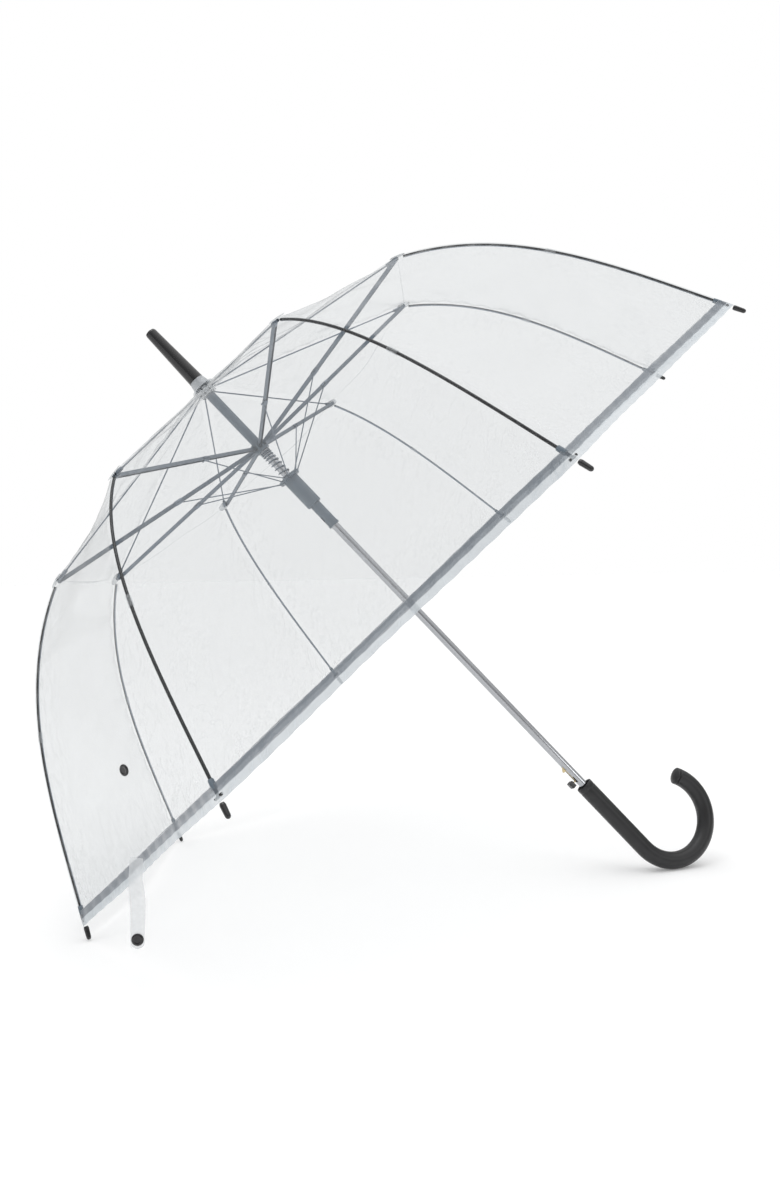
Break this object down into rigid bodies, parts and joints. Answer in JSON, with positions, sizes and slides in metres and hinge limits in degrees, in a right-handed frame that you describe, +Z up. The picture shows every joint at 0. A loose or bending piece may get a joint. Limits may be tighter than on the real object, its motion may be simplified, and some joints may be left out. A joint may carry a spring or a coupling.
{
  "type": "stick umbrella",
  "caption": "Automatic stick umbrella with a clear dome canopy, open, resting on two rib tips and its black crook handle.",
  "frame": {"origin": "on the floor under the middle of the object, as it lies open on two rib tips and its crook", "axes": "+Z up from the floor; the shaft runs down from the ferrule at -X to the crook at +X in the XZ plane; +Y is across the canopy"},
  "size_m": [0.777, 0.9398, 0.73],
  "materials": {
    "clear_film": "clear vinyl film, softly wrinkled",
    "frosted_plastic": "translucent grey moulding",
    "black_gloss_plastic": "glossy black moulding",
    "black_satin_plastic": "satin black moulding",
    "grey_plastic": "blue-grey moulding",
    "chromed_steel": "polished chromed tube",
    "bright_steel": "drawn steel wire and channel",
    "black_rib": "black pultruded glass fibre",
    "brass": "thin rolled strip"
  },
  "bodies": {
    "root": {"shaft_tube": "chromed_steel", "ferrule": "black_gloss_plastic", "apex_collar": "frosted_plastic", "crown_washer": "clear_film", "top_notch": "frosted_plastic", "crown_wire": "bright_steel", "top_sleeve": "grey_plastic", "canopy": "clear_film", "handle": "black_satin_plastic", "handle_bush": "black_gloss_plastic", "handle_end_cap": "black_gloss_plastic"},
    "hub": {"stretcher_hub": "grey_plastic", "main_spring": "bright_steel"},
    "runner": {"runner": "grey_plastic", "runner_tube": "grey_plastic"},
    "release": {"release_button": "black_gloss_plastic", "catch_lever": "brass"},
    "upper_rib_1": {"upper_rib_1": "bright_steel"},
    "lower_rib_1": {"lower_rib_1": "black_rib", "tip_cap_1": "black_gloss_plastic"},
    "stretcher_1": {"stretcher_1": "bright_steel"},
    "link_1": {"spreader_link_1": "bright_steel"},
    "upper_rib_2": {"upper_rib_2": "bright_steel"},
    "lower_rib_2": {"lower_rib_2": "black_rib", "tip_cap_2": "black_gloss_plastic"},
    "stretcher_2": {"stretcher_2": "bright_steel"},
    "link_2": {"spreader_link_2": "bright_steel"},
    "upper_rib_3": {"upper_rib_3": "bright_steel"},
    "lower_rib_3": {"lower_rib_3": "black_rib", "tip_cap_3": "black_gloss_plastic"},
    "stretcher_3": {"stretcher_3": "bright_steel"},
    "link_3": {"spreader_link_3": "bright_steel"},
    "upper_rib_4": {"upper_rib_4": "bright_steel"},
    "lower_rib_4": {"lower_rib_4": "black_rib", "tip_cap_4": "black_gloss_plastic"},
    "stretcher_4": {"stretcher_4": "bright_steel"},
    "link_4": {"spreader_link_4": "bright_steel"},
    "upper_rib_5": {"upper_rib_5": "bright_steel"},
    "lower_rib_5": {"lower_rib_5": "black_rib", "tip_cap_5": "black_gloss_plastic", "canopy_snap": "black_gloss_plastic", "closing_strap": "clear_film", "strap_snap": "black_gloss_plastic"},
    "stretcher_5": {"stretcher_5": "bright_steel"},
    "link_5": {"spreader_link_5": "bright_steel"},
    "upper_rib_6": {"upper_rib_6": "bright_steel"},
    "lower_rib_6": {"lower_rib_6": "black_rib", "tip_cap_6": "black_gloss_plastic"},
    "stretcher_6": {"stretcher_6": "bright_steel"},
    "link_6": {"spreader_link_6": "bright_steel"},
    "upper_rib_7": {"upper_rib_7": "bright_steel"},
    "lower_rib_7": {"lower_rib_7": "black_rib", "tip_cap_7": "black_gloss_plastic"},
    "stretcher_7": {"stretcher_7": "bright_steel"},
    "link_7": {"spreader_link_7": "bright_steel"},
    "upper_rib_8": {"upper_rib_8": "bright_steel"},
    "lower_rib_8": {"lower_rib_8": "black_rib", "tip_cap_8": "black_gloss_plastic"},
    "stretcher_8": {"stretcher_8": "bright_steel"},
    "link_8": {"spreader_link_8": "bright_steel"}
  },
  "joints": [
    {"name": "fold", "type": "slide", "parent": "root", "child": "hub", "axis": [0.6774, 0, -0.7356], "range_m": [0, 0.45947], "stiffness_N_per_m": 60, "springref_m": -0.25, "deforming": ["main_spring", "canopy"]},
    {"name": "runner_slide", "type": "slide", "parent": "root", "child": "runner", "axis": [0.6774, 0, -0.7356], "range_m": [0, 0.42136]},
    {"name": "release_press", "type": "slide", "parent": "root", "child": "release", "axis": [0.6667, 0.4226, 0.6139], "range_m": [0, 0.0025], "stiffness_N_per_m": 500, "springref_m": -0.002},
    {"name": "rib_1", "type": "hinge", "parent": "root", "child": "upper_rib_1", "pos_m": [-0.2219, 0.00344, 0.60037], "axis": [-0.2815, 0.9239, -0.2592], "range_deg": [0, 74.06]},
    {"name": "rib_2", "type": "hinge", "parent": "root", "child": "upper_rib_2", "pos_m": [-0.22549, 0.00831, 0.59708], "axis": [-0.6796, 0.3827, -0.6258], "range_deg": [0, 74.06]},
    {"name": "rib_3", "type": "hinge", "parent": "root", "child": "upper_rib_3", "pos_m": [-0.23055, 0.00831, 0.59241], "axis": [-0.6796, -0.3827, -0.6258], "range_deg": [0, 74.06]},
    {"name": "rib_4", "type": "hinge", "parent": "root", "child": "upper_rib_4", "pos_m": [-0.23414, 0.00344, 0.58911], "axis": [-0.2815, -0.9239, -0.2592], "range_deg": [0, 74.06]},
    {"name": "rib_5", "type": "hinge", "parent": "root", "child": "upper_rib_5", "pos_m": [-0.23414, -0.00344, 0.58911], "axis": [0.2815, -0.9239, 0.2592], "range_deg": [0, 74.06]},
    {"name": "rib_6", "type": "hinge", "parent": "root", "child": "upper_rib_6", "pos_m": [-0.23055, -0.00831, 0.59241], "axis": [0.6796, -0.3827, 0.6258], "range_deg": [0, 74.06]},
    {"name": "rib_7", "type": "hinge", "parent": "root", "child": "upper_rib_7", "pos_m": [-0.22549, -0.00831, 0.59708], "axis": [0.6796, 0.3827, 0.6258], "range_deg": [0, 74.06]},
    {"name": "rib_8", "type": "hinge", "parent": "root", "child": "upper_rib_8", "pos_m": [-0.2219, -0.00344, 0.60037], "axis": [0.2815, 0.9239, 0.2592], "range_deg": [0, 74.06]},
    {"name": "rib_flex_1", "type": "hinge", "parent": "upper_rib_1", "child": "lower_rib_1", "pos_m": [0.00969, 0.10753, 0.71985], "axis": [-0.2815, 0.9239, -0.2592], "range_deg": [-38.47, 0]},
    {"name": "rib_flex_2", "type": "hinge", "parent": "upper_rib_2", "child": "lower_rib_2", "pos_m": [-0.10218, 0.25961, 0.61683], "axis": [-0.6796, 0.3827, -0.6258], "range_deg": [-38.47, 0]},
    {"name": "rib_flex_3", "type": "hinge", "parent": "upper_rib_3", "child": "lower_rib_3", "pos_m": [-0.26038, 0.25961, 0.47114], "axis": [-0.6796, -0.3827, -0.6258], "range_deg": [-38.47, 0]},
    {"name": "rib_flex_4", "type": "hinge", "parent": "upper_rib_4", "child": "lower_rib_4", "pos_m": [-0.37225, 0.10753, 0.36812], "axis": [-0.2815, -0.9239, -0.2592], "range_deg": [-38.47, 0]},
    {"name": "rib_flex_5", "type": "hinge", "parent": "upper_rib_5", "child": "lower_rib_5", "pos_m": [-0.37225, -0.10753, 0.36812], "axis": [0.2815, -0.9239, 0.2592], "range_deg": [-38.47, 0]},
    {"name": "rib_flex_6", "type": "hinge", "parent": "upper_rib_6", "child": "lower_rib_6", "pos_m": [-0.26038, -0.25961, 0.47114], "axis": [0.6796, -0.3827, 0.6258], "range_deg": [-38.47, 0]},
    {"name": "rib_flex_7", "type": "hinge", "parent": "upper_rib_7", "child": "lower_rib_7", "pos_m": [-0.10218, -0.25961, 0.61683], "axis": [0.6796, 0.3827, 0.6258], "range_deg": [-38.47, 0]},
    {"name": "rib_flex_8", "type": "hinge", "parent": "upper_rib_8", "child": "lower_rib_8", "pos_m": [0.00969, -0.10753, 0.71985], "axis": [0.2815, 0.9239, 0.2592], "range_deg": [-38.47, 0]},
    {"name": "stretcher_swing_1", "type": "hinge", "parent": "hub", "child": "stretcher_1", "pos_m": [-0.15823, 0.00364, 0.53191], "axis": [-0.2815, 0.9239, -0.2592], "range_deg": [-83.19, 0]},
    {"name": "stretcher_swing_2", "type": "hinge", "parent": "hub", "child": "stretcher_2", "pos_m": [-0.16201, 0.00878, 0.52843], "axis": [-0.6796, 0.3827, -0.6258], "range_deg": [-83.19, 0]},
    {"name": "stretcher_swing_3", "type": "hinge", "parent": "hub", "child": "stretcher_3", "pos_m": [-0.16736, 0.00878, 0.5235], "axis": [-0.6796, -0.3827, -0.6258], "range_deg": [-83.19, 0]},
    {"name": "stretcher_swing_4", "type": "hinge", "parent": "hub", "child": "stretcher_4", "pos_m": [-0.17114, 0.00364, 0.52002], "axis": [-0.2815, -0.9239, -0.2592], "range_deg": [-83.19, 0]},
    {"name": "stretcher_swing_5", "type": "hinge", "parent": "hub", "child": "stretcher_5", "pos_m": [-0.17114, -0.00364, 0.52002], "axis": [0.2815, -0.9239, 0.2592], "range_deg": [-83.19, 0]},
    {"name": "stretcher_swing_6", "type": "hinge", "parent": "hub", "child": "stretcher_6", "pos_m": [-0.16736, -0.00878, 0.5235], "axis": [0.6796, -0.3827, 0.6258], "range_deg": [-83.19, 0]},
    {"name": "stretcher_swing_7", "type": "hinge", "parent": "hub", "child": "stretcher_7", "pos_m": [-0.16201, -0.00878, 0.52843], "axis": [0.6796, 0.3827, 0.6258], "range_deg": [-83.19, 0]},
    {"name": "stretcher_swing_8", "type": "hinge", "parent": "hub", "child": "stretcher_8", "pos_m": [-0.15823, -0.00364, 0.53191], "axis": [0.2815, 0.9239, 0.2592], "range_deg": [-83.19, 0]},
    {"name": "link_swing_1", "type": "hinge", "parent": "runner", "child": "link_1", "pos_m": [-0.12144, 0.00471, 0.49578], "axis": [-0.2815, 0.9239, -0.2592], "range_deg": [-59.93, 0]},
    {"name": "link_swing_2", "type": "hinge", "parent": "runner", "child": "link_2", "pos_m": [-0.12633, 0.01136, 0.49127], "axis": [-0.6796, 0.3827, -0.6258], "range_deg": [-59.93, 0]},
    {"name": "link_swing_3", "type": "hinge", "parent": "runner", "child": "link_3", "pos_m": [-0.13326, 0.01136, 0.48489], "axis": [-0.6796, -0.3827, -0.6258], "range_deg": [-59.93, 0]},
    {"name": "link_swing_4", "type": "hinge", "parent": "runner", "child": "link_4", "pos_m": [-0.13816, 0.00471, 0.48038], "axis": [-0.2815, -0.9239, -0.2592], "range_deg": [-59.93, 0]},
    {"name": "link_swing_5", "type": "hinge", "parent": "runner", "child": "link_5", "pos_m": [-0.13816, -0.00471, 0.48038], "axis": [0.2815, -0.9239, 0.2592], "range_deg": [-59.93, 0]},
    {"name": "link_swing_6", "type": "hinge", "parent": "runner", "child": "link_6", "pos_m": [-0.13326, -0.01136, 0.48489], "axis": [0.6796, -0.3827, 0.6258], "range_deg": [-59.93, 0]},
    {"name": "link_swing_7", "type": "hinge", "parent": "runner", "child": "link_7", "pos_m": [-0.12633, -0.01136, 0.49127], "axis": [0.6796, 0.3827, 0.6258], "range_deg": [-59.93, 0]},
    {"name": "link_swing_8", "type": "hinge", "parent": "runner", "child": "link_8", "pos_m": [-0.12144, -0.00471, 0.49578], "axis": [0.2815, 0.9239, 0.2592], "range_deg": [-59.93, 0]}
  ],
  "couplings": [
    {"joint": "runner_slide", "follows": "fold", "ratio": 0.91663},
    {"joint": "rib_1", "follows": "fold", "rad_per_m": 2.8113},
    {"joint": "rib_2", "follows": "fold", "rad_per_m": 2.8113},
    {"joint": "rib_3", "follows": "fold", "rad_per_m": 2.8113},
    {"joint": "rib_4", "follows": "fold", "rad_per_m": 2.8113},
    {"joint": "rib_5", "follows": "fold", "rad_per_m": 2.8113},
    {"joint": "rib_6", "follows": "fold", "rad_per_m": 2.8113},
    {"joint": "rib_7", "follows": "fold", "rad_per_m": 2.8113},
    {"joint": "rib_8", "follows": "fold", "rad_per_m": 2.8113},
    {"joint": "rib_flex_1", "follows": "fold", "rad_per_m": -1.4594},
    {"joint": "rib_flex_2", "follows": "fold", "rad_per_m": -1.4594},
    {"joint": "rib_flex_3", "follows": "fold", "rad_per_m": -1.4594},
    {"joint": "rib_flex_4", "follows": "fold", "rad_per_m": -1.4594},
    {"joint": "rib_flex_5", "follows": "fold", "rad_per_m": -1.4594},
    {"joint": "rib_flex_6", "follows": "fold", "rad_per_m": -1.4594},
    {"joint": "rib_flex_7", "follows": "fold", "rad_per_m": -1.4594},
    {"joint": "rib_flex_8", "follows": "fold", "rad_per_m": -1.4594},
    {"joint": "stretcher_swing_1", "follows": "fold", "rad_per_m": -3.1582},
    {"joint": "stretcher_swing_2", "follows": "fold", "rad_per_m": -3.1582},
    {"joint": "stretcher_swing_3", "follows": "fold", "rad_per_m": -3.1582},
    {"joint": "stretcher_swing_4", "follows": "fold", "rad_per_m": -3.1582},
    {"joint": "stretcher_swing_5", "follows": "fold", "rad_per_m": -3.1582},
    {"joint": "stretcher_swing_6", "follows": "fold", "rad_per_m": -3.1582},
    {"joint": "stretcher_swing_7", "follows": "fold", "rad_per_m": -3.1582},
    {"joint": "stretcher_swing_8", "follows": "fold", "rad_per_m": -3.1582},
    {"joint": "link_swing_1", "follows": "fold", "rad_per_m": -2.2747},
    {"joint": "link_swing_2", "follows": "fold", "rad_per_m": -2.2747},
    {"joint": "link_swing_3", "follows": "fold", "rad_per_m": -2.2747},
    {"joint": "link_swing_4", "follows": "fold", "rad_per_m": -2.2747},
    {"joint": "link_swing_5", "follows": "fold", "rad_per_m": -2.2747},
    {"joint": "link_swing_6", "follows": "fold", "rad_per_m": -2.2747},
    {"joint": "link_swing_7", "follows": "fold", "rad_per_m": -2.2747},
    {"joint": "link_swing_8", "follows": "fold", "rad_per_m": -2.2747}
  ]
}
